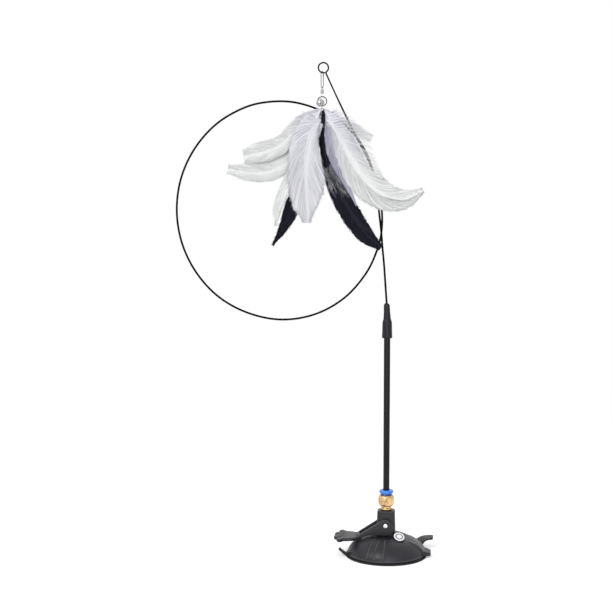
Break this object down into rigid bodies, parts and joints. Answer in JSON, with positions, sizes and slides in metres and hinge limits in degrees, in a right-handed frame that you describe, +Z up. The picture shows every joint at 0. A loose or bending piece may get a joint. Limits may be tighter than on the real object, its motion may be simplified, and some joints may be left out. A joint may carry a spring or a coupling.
{
  "type": "suction cup feather wand",
  "caption": "Suction-cup base with a lever lock, push-in tube fitting, upright pole and springy wire bow that hangs a bell and a feather lure for a cat.",
  "frame": {"origin": "centre of the rubber pad's flat face inside the suction cup, 2.2 mm above the table that the rim seals on", "axes": "+Z up along the pole, +X to the right of the picture, +Y away from the camera"},
  "size_m": [0.2451, 0.077, 0.4623],
  "materials": {
    "rubber": "matte moulded rubber",
    "black_plastic": "finely grained moulded plastic",
    "label_satin": "bare round satin disc, unprinted",
    "pin_steel": "plain steel",
    "brass": "turned brass",
    "blue_plastic": "glossy moulded plastic",
    "black_tube": "extruded tube, half gloss",
    "boot_rubber": "soft half-gloss cap",
    "black_wire": "black coated spring wire",
    "silver": "nickel plated",
    "feather_white": "feather, white vane with a pale shaft",
    "feather_lilac": "feather, pale lilac vane",
    "feather_black": "feather, near-black blue vane"
  },
  "bodies": {
    "base": {"suction_cup": "rubber", "dome_cover": "black_plastic", "round_label": "label_satin"},
    "post": {"post": "black_plastic", "pivot_pin": "pin_steel", "fitting_body": "brass", "tube_seal": "rubber", "guide_ring": "black_plastic"},
    "lever": {"lever": "black_plastic"},
    "sleeve": {"release_sleeve": "blue_plastic"},
    "grip": {"grip_ring": "pin_steel"},
    "pole": {"pole_tube": "black_tube", "tube_boot": "boot_rubber", "wire_plug": "boot_rubber", "wire_bow": "black_wire"},
    "snap": {"snap_link": "silver", "swivel_upper_eye": "silver", "swivel_barrel": "silver"},
    "swivel": {"swivel_lower_eye": "silver"},
    "ring": {"split_ring": "silver"},
    "bell": {"bell_shell": "silver", "bell_clapper": "silver"},
    "lure": {"feather_crimp": "silver", "feather_white_shoulder": "feather_white", "feather_white_left": "feather_white", "feather_white_upper_left": "feather_white", "feather_white_lower_left": "feather_white", "feather_white_front": "feather_white", "feather_white_right": "feather_white", "feather_lilac_inner": "feather_lilac", "feather_small_upper_right": "feather_white", "feather_black_lower_left": "feather_black", "feather_black_right": "feather_black"}
  },
  "joints": [
    {"name": "post_lift", "type": "slide", "parent": "base", "child": "post", "axis": [0, 0, 1], "range_m": [-0.0022, 0], "deforming": ["suction_cup"]},
    {"name": "lever_tilt", "type": "hinge", "parent": "post", "child": "lever", "pos_m": [0, 0, 0.0302], "axis": [0.1219, 0.9925, 0], "range_deg": [0, 90]},
    {"name": "sleeve_press", "type": "slide", "parent": "post", "child": "sleeve", "axis": [0, 0, 1], "range_m": [-0.0009, 0], "stiffness_N_per_m": 500},
    {"name": "pole_spin", "type": "hinge", "parent": "post", "child": "grip", "pos_m": [0, 0, 0.053], "axis": [0, 0, 1], "continuous": true},
    {"name": "pole_pull", "type": "slide", "parent": "grip", "child": "pole", "axis": [0, 0, 1], "range_m": [0, 0.024]},
    {"name": "snap_swing", "type": "hinge", "parent": "pole", "child": "snap", "pos_m": [-0.0613, -0.01, 0.4526], "axis": [0, 1, 0], "range_deg": [-4, 18]},
    {"name": "swivel_spin", "type": "hinge", "parent": "snap", "child": "swivel", "pos_m": [-0.0613, -0.01, 0.4315], "axis": [0, 0, 1], "range_deg": [-75, 0]},
    {"name": "ring_swing", "type": "hinge", "parent": "swivel", "child": "ring", "pos_m": [-0.0613, -0.01, 0.43005], "axis": [0, 1, 0], "range_deg": [-10, 10]},
    {"name": "bell_swing", "type": "hinge", "parent": "ring", "child": "bell", "pos_m": [-0.063, -0.01, 0.43059], "axis": [1, 0, 0], "range_deg": [-50, 0]},
    {"name": "lure_swing", "type": "hinge", "parent": "ring", "child": "lure", "pos_m": [-0.0613, -0.01, 0.42255], "axis": [0, 1, 0], "range_deg": [-6, 8]}
  ],
  "couplings": [
    {"joint": "lever_tilt", "follows": "post_lift", "rad_per_m": -713.9}
  ]
}
